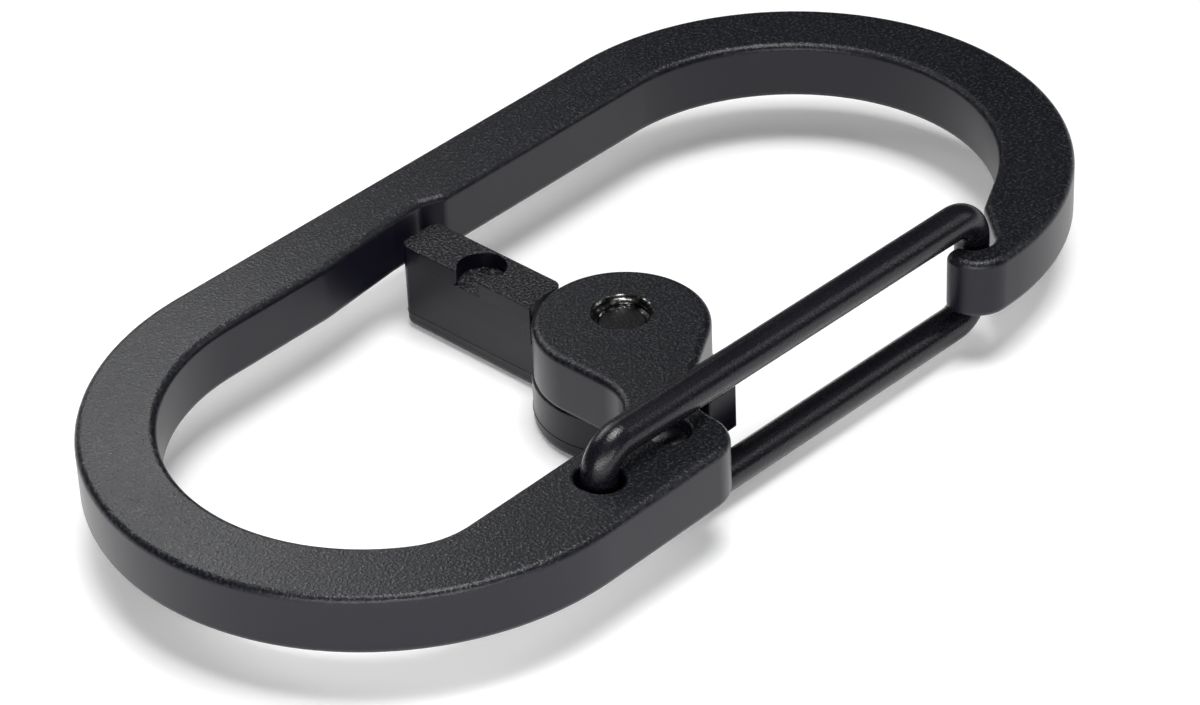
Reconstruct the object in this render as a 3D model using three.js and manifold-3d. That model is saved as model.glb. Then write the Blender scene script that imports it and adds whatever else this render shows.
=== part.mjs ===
// Oval wire-gate carabiner with an inner swinging lever. Millimetres, +Z up.
// X runs along the oval with the nose at +X, Y runs across it with the spine at +Y.
// The origin is under the middle of the oval, level with the underside of the lever.

import * as THREE from 'three';
import { mergeVertices } from 'three/addons/utils/BufferGeometryUtils.js';
import Module from 'manifold-3d';

const wasm = await Module();
wasm.setup();

// ---- Driving dimensions ----------------------------------------------------

// Frame: one forged plate, open between its gate end and its nose
const LENGTH = 90;
const WIDTH = 45;
const THICKNESS = 5;
const BAR = 6;                  // bar width of the spine and the bows
const GATE_BAR = 8.1;           // bar width of the straight that carries the gate
const EDGE_ROUND = 0.6;         // rounding of the frame's edges

// Nose: the hook that holds the end of the gate
const NOSE_REACH = 3.6;         // from the bow's centre back to the tip
const NOSE_HEIGHT = 4;          // of the tip, from the outer edge inwards
const NOSE_TURN = -63;          // degrees round the bow where the inner edge turns straight
const POCKET_GAP = 0.375;        // play of the gate's end in the nose's pocket

// Eye: the round lug that carries the lever, and the neck that joins it to the gate straight
const EYE_X = -3.06;
const EYE_FROM_EDGE = 16.9;     // centre of the eye, from the frame's outer edge
const EYE_RADIUS = 6.75;
const NECK_ROUND = 4.5;         // hollow corner on the neck's left
const GATE_END_X = -7.75;
const GATE_END_ROUND = 3.4;
const HEEL_ROUND = 5;           // where the neck's right side turns into the gate's end
const GATE_END_LEAVE = -60;     // degrees round the eye where the neck's right side leaves it

// Spine notch: the hollow that the lever's tip rests in
const NOTCH_DEPTH = 0.9;
const NOTCH_STEP = 1.05;        // foot of its steep side, from the arm's right side
const NOTCH_FLOOR = 3;          // length of its floor
const NOTCH_RAMP = 8;           // length of its gentle side

// Gate: one bent wire
const WIRE = 2.75;
const LEG_GAP = 0.725;            // between each leg and the face it runs over
const LEG_FROM_EDGE = 4.84;     // of the legs, from the outer edge, at the upper hole
const LEG_END_FROM_EDGE = 4;    // of the legs, from the outer edge, at the nose
const UPPER_HOLE_X = -18.45;
const UPPER_HOLE_SHIFT = -0.25; // of the upper hole from the wire's upper end
const LOWER_HOLE_X = -11.25;
const GATE_AXIS_X = -16.65;
const WIRE_BEND = 2.3;
const WIRE_DEPTH = 3.2;         // of the upper end, below the frame's top face
const WIRE_RECESS = 0.5;        // of the lower end, below the frame's top face
const GATE_OPEN = 16;           // degrees

// Lever: moulded, hung under the eye
const PIVOT_X = -2.34;
const PIVOT_FROM_EDGE = 17.5;
const LEVER_DROP = 4.5;         // from the frame's underside to the lever's underside
const LEVER_TOP_BELOW = 1.9;    // from the frame's top face down to the top of the arm and the tail
const LEVER_ROUND = 0.8;        // rounding of the lever's lower edges
const LEVER_SWING = 75;         // degrees
const ARM_WIDTH = 4.05;
const ARM_LEFT = -2.16;         // left side of the arm, from the pivot
const ARM_END_ROUND = 1.6;      // lower corner of the arm's far end
const TAIL_RIGHT = 0.54;        // right side of the tail, from the pivot
const TAIL_WIDTH = 3.1;
const TAIL_REACH = 3.62;        // near face of the tail, from the eye's near side
const DIMPLE_RADIUS = 1.95;
const DIMPLE_DEPTH = 1.4;
const DIMPLE_OUT = 14.45;       // centre of the dimple, from the pivot

// Pivot: shoulder screw up into the eye, sleeve, two washers and a torsion spring
const THREAD = 4.2;
const THREAD_PITCH = 0.7;
const THREAD_DEPTH = 0.3;
const SHOULDER = 5;
const SCREW_RECESS = 0.8;       // end of the screw, below the frame's top face
const SLEEVE_WALL = 0.5;
const HEAD_RIM = 0.9;           // of the head round the shoulder
const HEAD_THICKNESS = 1.4;
const SOCKET = 2.5;             // across the flats of the key
const SPRING_WIRE = 0.6;
const BOSS_WALL = 0.87;         // of the hub, between the upper washer and the spring
const HUB_WALL = 1.35;          // of the hub, outside the spring
const SPRING_TURNS = 1.5;
const TANG = 1;                 // how far each end of the spring goes into its hole

// Clearances
const FIT = 0.08;               // round the sleeve and the shoulder
const SEAT = 0.12;              // between faces that bear on each other
const THREAD_GAP = 0.2;         // between the screw's thread and the eye's
const UPPER_HOLE_GAP = 0.3;    // round the wire's upper end, all through its swing
const LOWER_HOLE_GAP = 0.25;    // round the wire's lower end, all through its swing
const RUN = 0.25;               // under the eye
const WIRE_RUN = 0.1;          // between the tail and the wire that swings under it
const SIDE_RUN = 0.4;           // between the tail and the neck
const EYE_RUN = 0.3;            // between the arm and the eye that it swings round
const SPRING_RUN = 0.35;        // between the spring and the walls of its well

// ---- Places worked out from them -------------------------------------------

const HALF = WIDTH / 2;
const BOW_X = (LENGTH - WIDTH) / 2;
const INNER = HALF - BAR;
const GATE_INNER_Y = GATE_BAR - HALF;
const FRAME_BOTTOM = LEVER_DROP;
const FRAME_TOP = FRAME_BOTTOM + THICKNESS;
const MIDDLE = FRAME_BOTTOM + THICKNESS / 2;
const EYE_Y = EYE_FROM_EDGE - HALF;
const PIVOT_Y = PIVOT_FROM_EDGE - HALF;
const LEG_Y = LEG_FROM_EDGE - HALF;
const LEG_END_Y = LEG_END_FROM_EDGE - HALF;
const GATE_AXIS_Y = LEG_Y;
const POCKET = WIRE / 2 + POCKET_GAP;
const HUB_TOP = FRAME_BOTTOM - RUN;
const LEG_HEIGHT = THICKNESS / 2 + LEG_GAP + WIRE / 2;
const ARM_X = PIVOT_X + ARM_LEFT + ARM_WIDTH / 2;
const ARM_RISE = EYE_RADIUS + Math.hypot(PIVOT_X - EYE_X, PIVOT_Y - EYE_Y) + EYE_RUN;
const HEAD_RADIUS = SHOULDER / 2 + HEAD_RIM;
const SPRING_ROOM = SPRING_WIRE / 2 + SPRING_RUN;
const SPRING_RADIUS = HEAD_RADIUS + FIT + BOSS_WALL + SPRING_ROOM;
const HUB_RADIUS = SPRING_RADIUS + SPRING_ROOM + HUB_WALL;
const RAD = Math.PI / 180;

// ---- Outlines --------------------------------------------------------------

const CHORD_ERROR = 0.015;
const at = (x, y) => new THREE.Vector2(x, y);
const headed = (degrees) => at(Math.cos(degrees * RAD), Math.sin(degrees * RAD));

// Points along an arc, both ends included; angles in degrees
function arc(centre, radius, from, to) {
  const widest = 2 * Math.acos(1 - CHORD_ERROR / radius) / RAD;
  const steps = Math.max(2, Math.ceil(Math.abs(to - from) / widest));
  return Array.from({ length: steps + 1 }, (_, i) =>
    headed(from + (to - from) * i / steps).multiplyScalar(radius).add(centre));
}

// The arc that rounds a corner between two straight runs
function corner(before, tip, after, radius) {
  const a = before.clone().sub(tip).normalize();
  const b = after.clone().sub(tip).normalize();
  const half = Math.acos(a.dot(b)) / 2;
  const centre = a.clone().add(b).setLength(radius / Math.sin(half)).add(tip);
  const reach = radius / Math.tan(half);
  const start = a.multiplyScalar(reach).add(tip).sub(centre).angle();
  const end = b.multiplyScalar(reach).add(tip).sub(centre).angle();
  const turn = end - start - 2 * Math.PI * Math.round((end - start) / (2 * Math.PI));
  return arc(centre, radius, start / RAD, (start + turn) / RAD);
}

// A run of points [point, radius], where each radius rounds its point and none leaves it sharp
function run(points, closed = false) {
  const last = points.length - 1;
  return points.flatMap(([point, radius], i) => {
    if (!radius || (!closed && (i === 0 || i === last))) return [point];
    const before = points[i === 0 ? last : i - 1][0];
    const after = points[i === last ? 0 : i + 1][0];
    return corner(before, point, after, radius);
  });
}

// Where two straight lines cross, each given by a point and a heading in degrees
function crossing(p, pHeading, q, qHeading) {
  const a = headed(pHeading);
  const b = headed(qHeading);
  const t = q.clone().sub(p).cross(b) / a.cross(b);
  return a.multiplyScalar(t).add(p);
}

// ---- Solids ----------------------------------------------------------------

function solid(geometry) {
  geometry.deleteAttribute('normal');
  geometry.deleteAttribute('uv');
  const merged = mergeVertices(geometry, 1e-4);
  return new wasm.Manifold(new wasm.Mesh({
    numProp: 3,
    vertProperties: merged.attributes.position.array,
    triVerts: new Uint32Array(merged.index.array),
  }));
}

// A plate between two heights whose edges are rounded by round
function plate(points, bottom, top, round = 0) {
  const geometry = new THREE.ExtrudeGeometry(new THREE.Shape(points), {
    depth: top - bottom - 2 * round,
    steps: 1,
    bevelEnabled: round > 0,
    bevelThickness: round,
    bevelSize: round,
    bevelOffset: -round,
    bevelSegments: 3,
  });
  geometry.translate(0, 0, bottom + round);
  return solid(geometry);
}

// A turned piece: profile points are [radius, height], from the axis back to the axis
function turned(profile, x, y, sides = 48) {
  const geometry = new THREE.LatheGeometry(profile.map(([r, z]) => at(r, z)), sides);
  geometry.rotateX(Math.PI / 2);
  geometry.translate(x, y, 0);
  return solid(geometry);
}

const cylinder = (x, y, radius, bottom, top, sides = 48) =>
  turned([[0, bottom], [radius, bottom], [radius, top], [0, top]], x, y, sides);

const ring = (x, y, inner, outer, bottom, top) =>
  cylinder(x, y, outer, bottom, top).subtract(cylinder(x, y, inner, bottom - 1, top + 1));

// A round bar along stations of place and direction
class Stations extends THREE.Curve {
  constructor(stations) {
    super();
    this.stations = stations;
  }
  station(u) {
    return this.stations[Math.round(u * (this.stations.length - 1))];
  }
  getPointAt(u, target = new THREE.Vector3()) {
    return target.copy(this.station(u).place);
  }
  getTangentAt(u, target = new THREE.Vector3()) {
    return target.copy(this.station(u).direction);
  }
}

function bar(stations, diameter, sides) {
  const section = new THREE.Shape(Array.from({ length: sides }, (_, i) =>
    headed(360 * i / sides).multiplyScalar(diameter / 2)));
  return solid(new THREE.ExtrudeGeometry(section, {
    steps: stations.length - 1,
    bevelEnabled: false,
    extrudePath: new Stations(stations),
  }));
}

// ---- Frame -----------------------------------------------------------------

// Nose, from the outer edge round the tip and the pocket to the bow's inner edge
function noseOutline() {
  const outer = -HALF;
  const tipX = BOW_X - NOSE_REACH;
  const inner = outer + NOSE_HEIGHT;
  const pocket = at(BOW_X, LEG_END_Y);
  const lip = headed(200).multiplyScalar(POCKET).add(pocket);
  const rise = 50;                                   // heading of the pocket's far side
  const wall = headed(rise - 90).multiplyScalar(POCKET).add(pocket);
  const bow = at(BOW_X, 0);
  const turn = headed(NOSE_TURN).multiplyScalar(INNER).add(bow);
  const shoulder = crossing(wall, rise, turn, NOSE_TURN + 90);
  return [
    ...run([
      [at(BOW_X, outer)],
      [at(tipX, outer), 2.9],
      [at(tipX, inner), 1],
      [at(lip.x - 0.1, inner + 0.1), 0.65],
      [lip],
    ]).slice(1, -1),
    ...arc(pocket, POCKET, 200, 270 + rise),
    ...corner(wall, shoulder, turn, 1.2),
    ...arc(bow, INNER, NOSE_TURN, 90),
  ];
}

// Inner edge of the spine, with the notch; it is walked towards -X
function spineOutline() {
  const floor = INNER + NOTCH_DEPTH;
  const foot = ARM_X + ARM_WIDTH / 2 + NOTCH_STEP;
  const head = foot - 2;
  const ramp = head - NOTCH_FLOOR;
  return run([
    [at(foot + 3, INNER)],
    [at(foot, INNER), 1.2],
    [at(head, floor), 1.2],
    [at(ramp, floor - 0.1), 4],
    [at(ramp - NOTCH_RAMP, INNER), 9],
    [at(ramp - NOTCH_RAMP - 2, INNER)],
  ]);
}

// Left bow's inner edge, blended into the inner edge of the wider gate straight
function bowOutline() {
  const blend = 6.75;
  const bow = at(-BOW_X, 0);
  const y = GATE_INNER_Y + blend;
  const centre = at(bow.x - Math.sqrt((INNER - blend) ** 2 - y ** 2), y);
  const meet = centre.clone().sub(bow).angle() / RAD;
  return [...arc(bow, INNER, 90, meet), ...arc(centre, blend, meet, 270).slice(1)];
}

// The straight right side of the neck: where it leaves the eye, and where it meets the gate's end
function neckSide() {
  const leave = headed(GATE_END_LEAVE).multiplyScalar(EYE_RADIUS).add(at(EYE_X, EYE_Y));
  return [leave, crossing(leave, GATE_END_LEAVE - 90, at(GATE_END_X, 0), 90)];
}

// Neck and eye, from the gate straight's inner edge to the frame's outer edge at the gate end
function eyeOutline() {
  const eye = at(EYE_X, EYE_Y);
  const left = EYE_X - EYE_RADIUS;
  const [leave, heel] = neckSide();
  const wall = heel.y + HALF - GATE_END_ROUND;
  const heelRound = Math.min(HEEL_ROUND, wall * Math.tan(-GATE_END_LEAVE * RAD));
  return [
    ...arc(at(left - NECK_ROUND, GATE_INNER_Y + NECK_ROUND), NECK_ROUND, 270, 360),
    ...arc(eye, EYE_RADIUS, 180, GATE_END_LEAVE),
    ...run([
      [leave],
      [heel, heelRound],
      [at(GATE_END_X, -HALF), GATE_END_ROUND],
      [at(-BOW_X, -HALF)],
    ]).slice(1, -1),
  ];
}

// Rings stand for the thread; they run on past both faces of the eye
function thread(radius) {
  const bottom = FRAME_BOTTOM - THREAD_PITCH;
  const turns = Math.ceil(THICKNESS / THREAD_PITCH) + 2;
  const flanks = Array.from({ length: 2 * turns + 1 }, (_, i) =>
    [radius - (i % 2 ? 0 : THREAD_DEPTH), bottom + i * THREAD_PITCH / 2]);
  const top = flanks[flanks.length - 1][1];
  return turned([[0, bottom], ...flanks, [0, top]], PIVOT_X, PIVOT_Y);
}

// The hole that a wire's end needs while the gate turns about its axis; shift moves the hole along X
function sweptHole(x, gap, bottom, top, shift = 0) {
  const reach = x - GATE_AXIS_X;
  const radius = WIRE / 2 + gap;
  const steps = Math.ceil(Math.abs(reach) * GATE_OPEN * RAD / 0.5) + 1;
  const centres = Array.from({ length: steps + 1 }, (_, i) =>
    headed(GATE_OPEN * i / steps).multiplyScalar(reach).add(at(GATE_AXIS_X, GATE_AXIS_Y)));
  const lean = legAt(x) - GATE_AXIS_Y;
  return centres
    .map((c) => cylinder(c.x + shift, c.y + lean, radius, bottom, top, 32))
    .reduce((all, one) => all.add(one));
}

const SPRING_HOLE = SPRING_WIRE / 2 + 0.2;

function frameSolid() {
  const outline = [
    ...arc(at(-BOW_X, 0), HALF, 270, 90),
    ...arc(at(BOW_X, 0), HALF, 90, -90),
    ...noseOutline(),
    ...spineOutline(),
    ...bowOutline(),
    ...eyeOutline(),
  ];
  const tang = springEnd(true);
  const upperFloor = FRAME_TOP - WIRE_DEPTH - 0.4;
  return plate(outline, FRAME_BOTTOM, FRAME_TOP, EDGE_ROUND)
    .subtract(thread(THREAD / 2))
    .subtract(sweptHole(UPPER_HOLE_X, UPPER_HOLE_GAP, upperFloor, FRAME_TOP + 1, UPPER_HOLE_SHIFT))
    .subtract(sweptHole(LOWER_HOLE_X, LOWER_HOLE_GAP, FRAME_BOTTOM - 1, FRAME_TOP + 1))
    .subtract(cylinder(tang.x, tang.y, SPRING_HOLE, FRAME_BOTTOM - 1, FRAME_BOTTOM + TANG + RUN, 16));
}

// ---- Gate ------------------------------------------------------------------

// The legs lean outwards a little from the upper hole to the nose
function legAt(x) {
  return LEG_Y + (LEG_END_Y - LEG_Y) * (x - UPPER_HOLE_X) / (BOW_X - UPPER_HOLE_X);
}

// One wire: down into the upper hole, along, round the nose, back underneath and up
function gateSolid() {
  const top = MIDDLE + LEG_HEIGHT;
  const low = MIDDLE - LEG_HEIGHT;
  const corners = [
    [UPPER_HOLE_X, FRAME_TOP - WIRE_DEPTH],
    [UPPER_HOLE_X, top],
    [BOW_X, top],
    [BOW_X, low],
    [LOWER_HOLE_X, low],
    [LOWER_HOLE_X, FRAME_TOP - WIRE_RECESS],
  ].map(([x, z]) => [at(x, z), WIRE_BEND]);
  const points = run(corners);
  const places = points.map((p) => new THREE.Vector3(p.x, legAt(p.x), p.y));
  const stations = places.map((place, i) => {
    const after = places[Math.min(i + 1, places.length - 1)];
    const before = places[Math.max(i - 1, 0)];
    const ahead = after.clone().sub(place).normalize();
    const behind = place.clone().sub(before).normalize();
    return { place, direction: ahead.add(behind).normalize() };
  });
  return bar(stations, WIRE, 20);
}

// ---- Lever -----------------------------------------------------------------

const BORE = SHOULDER / 2 + FIT + SLEEVE_WALL + FIT;
const COUNTERBORE = HEAD_RADIUS + 0.4;
const COUNTERBORE_TOP = 2.2;
const SPRING_FLOOR = 2.6;
const LEVER_TOP = FRAME_TOP - LEVER_TOP_BELOW;

// A block between two sides, with a rounded lower edge all round and sharp upper edges
function block(left, right, near, far, bottom) {
  const round = LEVER_ROUND + 0.05;
  const outline = run([
    [at(left, near), round],
    [at(right, near), round],
    [at(right, far), round],
    [at(left, far), round],
  ], true);
  return plate(outline, bottom, LEVER_TOP + 2 * LEVER_ROUND, LEVER_ROUND)
    .trimByPlane([0, 0, -1], -LEVER_TOP);
}

// A long arm under the eye that steps up beside it; seen from the side it ends in a round corner
function armSolid() {
  const left = ARM_X - ARM_WIDTH / 2;
  const right = ARM_X + ARM_WIDTH / 2;
  const far = INNER + 0.2;
  const rise = PIVOT_Y + ARM_RISE;
  const low = block(left, right, PIVOT_Y, far, 0).trimByPlane([0, 0, -1], -HUB_TOP);
  const high = plate(run([
    [at(left, far + 1)],
    [at(left, rise - 1)],
    [at(right, rise - 0.4), 2.5],
    [at(right, far + 1)],
  ]), 0, LEVER_TOP).intersect(block(left, right, PIVOT_Y, far, 0));
  const profile = new THREE.Shape(run([
    [at(PIVOT_Y - 1, -1)],
    [at(PIVOT_Y - 1, LEVER_TOP + 1)],
    [at(far, LEVER_TOP + 1)],
    [at(far, 0), ARM_END_ROUND],
    [at(PIVOT_Y + 1, 0)],
    [at(PIVOT_Y + 1, -1)],
  ]));
  const side = new THREE.ExtrudeGeometry(profile, { depth: ARM_WIDTH + 2, bevelEnabled: false });
  side.rotateX(Math.PI / 2);
  side.rotateZ(Math.PI / 2);
  side.translate(left - 1, 0, 0);
  return high
    .subtract(cylinder(PIVOT_X, PIVOT_Y, ARM_RISE, HUB_TOP, LEVER_TOP + 1, 96))
    .add(low)
    .intersect(solid(side));
}

// The disc under the eye, with its lower edge rounded
function hubSolid() {
  const rounded = arc(at(HUB_RADIUS - LEVER_ROUND, LEVER_ROUND), LEVER_ROUND, -90, 0);
  return turned([
    [0, 0],
    ...rounded.map((p) => [p.x, p.y]),
    [HUB_RADIUS, HUB_TOP],
    [0, HUB_TOP],
  ], PIVOT_X, PIVOT_Y, 72);
}

// The tail stands beside the neck, above the gate's lower wire, on a web that runs in under the eye
function tailSolid() {
  const right = PIVOT_X + TAIL_RIGHT;
  const left = right - TAIL_WIDTH;
  const near = EYE_Y - EYE_RADIUS - TAIL_REACH;
  const bottom = MIDDLE - LEG_HEIGHT + WIRE / 2 + WIRE_RUN;
  const away = neckSide().map((p) => headed(GATE_END_LEAVE).multiplyScalar(SIDE_RUN).add(p));
  const beside = plate([
    crossing(away[0], GATE_END_LEAVE - 90, at(left, 0), 90),
    at(left, near),
    at(right, near),
    crossing(away[0], GATE_END_LEAVE - 90, at(right, 0), 90),
  ], bottom, LEVER_TOP);
  const web = plate([
    at(left, near),
    at(right, near),
    at(right, PIVOT_Y - HUB_RADIUS + 1.5),
    at(left, PIVOT_Y - HUB_RADIUS + 1.5),
  ], bottom, HUB_TOP);
  return beside.add(web);
}

function leverSolid() {
  const floor = LEVER_TOP - DIMPLE_DEPTH;
  const hollow = cylinder(ARM_X - 0.2, PIVOT_Y + DIMPLE_OUT, DIMPLE_RADIUS, floor, FRAME_TOP);
  return armSolid()
    .add(hubSolid())
    .add(tailSolid())
    .subtract(hollow)
    .subtract(cylinder(PIVOT_X, PIVOT_Y, BORE, -1, FRAME_TOP))
    .subtract(cylinder(PIVOT_X, PIVOT_Y, COUNTERBORE, -1, COUNTERBORE_TOP))
    .subtract(cylinder(PIVOT_X, PIVOT_Y, HEAD_RADIUS + FIT, HUB_TOP - WASHER, FRAME_TOP))
    .subtract(springWell());
}

// Ring-shaped well for the spring, with a hole in its floor for the spring's lower end
function springWell() {
  const tang = springEnd(false);
  const inner = SPRING_RADIUS - SPRING_ROOM;
  const outer = SPRING_RADIUS + SPRING_ROOM;
  return ring(PIVOT_X, PIVOT_Y, inner, outer, SPRING_FLOOR, FRAME_BOTTOM)
    .add(cylinder(tang.x, tang.y, SPRING_HOLE, SPRING_FLOOR - TANG - RUN, SPRING_FLOOR + 0.1, 16));
}

// ---- Pivot -----------------------------------------------------------------

const SPRING_START = 150;       // degrees round the pivot
const WASHER = 0.5;             // depth of the upper washer's recess in the hub
const WASHER_INNER = SHOULDER / 2 + FIT;
const LOWER_WASHER = 0.35;

// Where the spring turns up into the eye, or down into the lever
function springEnd(upper) {
  const angle = SPRING_START + (upper ? 360 * SPRING_TURNS : 0);
  return headed(angle).multiplyScalar(SPRING_RADIUS).add(at(PIVOT_X, PIVOT_Y));
}

function springSolid() {
  const low = SPRING_FLOOR + SPRING_WIRE / 2 + 0.1;
  const high = HUB_TOP - SPRING_WIRE / 2 + 0.15;
  const steps = Math.round(SPRING_TURNS * 24);
  const places = Array.from({ length: steps + 1 }, (_, i) => {
    const p = headed(SPRING_START + 360 * SPRING_TURNS * i / steps).multiplyScalar(SPRING_RADIUS);
    return new THREE.Vector3(PIVOT_X + p.x, PIVOT_Y + p.y, low + (high - low) * i / steps);
  });
  const coil = places.slice(1, -1).map((place, i) => ({
    place,
    direction: places[i + 2].clone().sub(places[i]).normalize(),
  }));
  const start = springEnd(false);
  const end = springEnd(true);
  const up = new THREE.Vector3(0, 0, 1);
  const bend = (place, flat) => ({ place, direction: flat.clone().add(up).normalize() });
  return bar([
    { place: new THREE.Vector3(start.x, start.y, SPRING_FLOOR - TANG), direction: up },
    bend(new THREE.Vector3(start.x, start.y, low - 0.1), coil[0].direction),
    ...coil,
    bend(new THREE.Vector3(end.x, end.y, high + 0.1), coil[coil.length - 1].direction),
    { place: new THREE.Vector3(end.x, end.y, FRAME_BOTTOM + TANG), direction: up },
  ], SPRING_WIRE, 8);
}

// Shoulder screw: head and shoulder under the eye, thread up into it
function screwSolid() {
  const headTop = COUNTERBORE_TOP - 2 * SEAT - LOWER_WASHER;
  const headBottom = headTop - HEAD_THICKNESS;
  const shoulderTop = FRAME_BOTTOM - SEAT;
  const threaded = thread(THREAD / 2 - THREAD_GAP)
    .trimByPlane([0, 0, 1], shoulderTop - 0.1)
    .trimByPlane([0, 0, -1], SCREW_RECESS - FRAME_TOP);
  const key = cylinder(PIVOT_X, PIVOT_Y, SOCKET / Math.sqrt(3), headBottom - 1, headBottom + 1, 6);
  return cylinder(PIVOT_X, PIVOT_Y, HEAD_RADIUS, headBottom, headTop)
    .add(cylinder(PIVOT_X, PIVOT_Y, SHOULDER / 2, headTop - 0.1, shoulderTop))
    .add(threaded)
    .subtract(key);
}

const sleeveSolid = () => ring(
  PIVOT_X, PIVOT_Y, SHOULDER / 2 + FIT, SHOULDER / 2 + FIT + SLEEVE_WALL,
  COUNTERBORE_TOP, HUB_TOP - WASHER - SEAT);

const upperWasherSolid = () => ring(
  PIVOT_X, PIVOT_Y, WASHER_INNER, HEAD_RADIUS, HUB_TOP - WASHER + SEAT, FRAME_BOTTOM - SEAT);

const lowerWasherSolid = () => ring(
  PIVOT_X, PIVOT_Y, WASHER_INNER, HEAD_RADIUS, COUNTERBORE_TOP - SEAT - LOWER_WASHER, COUNTERBORE_TOP - SEAT);

// ---- Assembly --------------------------------------------------------------

const finishes = {
  coat: { color: 0x1b1c1e, roughness: 0.55, metalness: 0.1 },
  wire: { color: 0x131416, roughness: 0.3, metalness: 0.4 },
  moulding: { color: 0x17181a, roughness: 0.6, metalness: 0 },
  steel: { color: 0x6f7276, roughness: 0.35, metalness: 1 },
  bronze: { color: 0x8a6a3a, roughness: 0.4, metalness: 1 },
  acetal: { color: 0xd8d6cf, roughness: 0.5, metalness: 0 },
};

function piece(name, body, finish) {
  const mesh = body.getMesh();
  const geometry = new THREE.BufferGeometry();
  geometry.setAttribute('position', new THREE.BufferAttribute(mesh.vertProperties, 3));
  geometry.setIndex(new THREE.BufferAttribute(mesh.triVerts, 1));
  const result = new THREE.Mesh(geometry, new THREE.MeshStandardMaterial(finishes[finish]));
  result.name = name;
  return result;
}

const carabiner = new THREE.Group();
carabiner.add(
  piece('frame', frameSolid(), 'coat'),
  piece('wire_gate', gateSolid(), 'wire'),
  piece('lever', leverSolid(), 'moulding'),
  piece('pivot_screw', screwSolid(), 'steel'),
  piece('pivot_sleeve', sleeveSolid(), 'bronze'),
  piece('upper_thrust_washer', upperWasherSolid(), 'acetal'),
  piece('lower_thrust_washer', lowerWasherSolid(), 'acetal'),
  piece('return_spring', springSolid(), 'steel'),
);

export default carabiner;
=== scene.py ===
# %% [markdown]
# # A small oval carabiner, built as surfaces
#
# The object is a flat forged oval with a gate bent from one wire and a moulded
# lever inside. Its CAD model says where each piece is. This lesson gives each
# visible piece a finer surface and a finish. All sizes are in millimetres in
# the CAD's own frame, and become metres only when a mesh is made.

import bpy
import numpy as np
from mathutils import Matrix, Vector
from mathutils.geometry import delaunay_2d_cdt


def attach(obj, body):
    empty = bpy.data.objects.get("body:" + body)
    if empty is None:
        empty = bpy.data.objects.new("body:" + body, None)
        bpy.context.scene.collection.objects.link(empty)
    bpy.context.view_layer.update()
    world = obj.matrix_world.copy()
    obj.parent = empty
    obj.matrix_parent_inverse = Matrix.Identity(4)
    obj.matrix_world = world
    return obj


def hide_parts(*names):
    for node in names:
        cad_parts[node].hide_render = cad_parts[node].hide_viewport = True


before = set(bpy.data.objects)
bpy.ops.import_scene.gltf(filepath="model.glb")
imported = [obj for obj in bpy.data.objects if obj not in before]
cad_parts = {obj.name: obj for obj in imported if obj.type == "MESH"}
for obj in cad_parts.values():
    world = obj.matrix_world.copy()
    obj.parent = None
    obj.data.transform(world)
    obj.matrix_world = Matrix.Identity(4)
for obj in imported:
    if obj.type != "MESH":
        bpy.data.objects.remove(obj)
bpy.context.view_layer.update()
MM = 0.001

# %% [markdown]
# ## The camera
#
# A long lens from about 32 cm away looks down on the gate's side of the oval.
# Its place is worked out backwards from the point it looks at: along the
# line of sight, which two angles give, by the distance. A small roll turns
# the frame about that line.

# %% Place the camera
AIM = np.array([0.88, 0.63, 1.53])
DISTANCE = 323.64
AZIMUTH, ELEVATION, ROLL = np.radians([44.389, 34.827, -2.591])
LENS = 125.93

look = np.array([
    np.cos(ELEVATION) * np.cos(AZIMUTH), np.cos(ELEVATION) * np.sin(AZIMUTH), -np.sin(ELEVATION),
])
level_right = np.array([np.sin(AZIMUTH), -np.cos(AZIMUTH), 0.0])
right = np.cos(ROLL) * level_right + np.sin(ROLL) * np.cross(level_right, look)
turn = np.column_stack([right, np.cross(right, look), -look])
stand = (AIM - DISTANCE * look) * MM
camera = bpy.data.objects.new("camera", bpy.data.cameras.new("camera"))
camera.data.sensor_width = 36
camera.data.lens = LENS
camera.matrix_world = Matrix.Translation(Vector(stand)) @ Matrix(turn.tolist()).to_4x4()
bpy.context.collection.objects.link(camera)
bpy.context.scene.camera = camera
print("camera stands", round(float(np.linalg.norm(stand)), 3), "m from the origin")

# %% [markdown]
# ## Outlines
#
# Every flat piece starts as a closed outline of arcs and straight runs. Three
# helpers are enough: a heading, an arc, and a run of points whose corners are
# rounded. An arc gets a point at least every few degrees, so a highlight that
# travels round it stays smooth.

# %% Arcs and rounded corners
STEP = 4.0


def headed(degrees):
    """Unit vectors at angles: cosine and sine of each."""
    angle = np.radians(degrees)
    return np.stack([np.cos(angle), np.sin(angle)], axis=-1)


def arc(centre, radius, start, end):
    """Points centre + radius * heading, for angles spread evenly from start to end."""
    step = min(STEP, np.degrees(0.35 / radius) + 1.2)
    steps = max(2, int(np.ceil(abs(end - start) / step)))
    return np.asarray(centre) + radius * headed(np.linspace(start, end, steps + 1))


def corner(before, tip, after, radius):
    """The arc that touches both sides of a corner: its centre is on the bisector, at radius / sin(half)."""
    before, tip, after = (np.asarray(p, float) for p in (before, tip, after))
    a = (before - tip) / np.linalg.norm(before - tip)
    b = (after - tip) / np.linalg.norm(after - tip)
    half = np.arccos(np.clip(a @ b, -1, 1)) / 2
    middle = (a + b) / np.linalg.norm(a + b)
    centre = tip + middle * radius / np.sin(half)
    reach = radius / np.tan(half)
    ends = np.array([tip + a * reach - centre, tip + b * reach - centre])
    start, end = np.degrees(np.arctan2(ends[:, 1], ends[:, 0]))
    end = start + (end - start + 180) % 360 - 180
    return arc(centre, radius, start, end)


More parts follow.
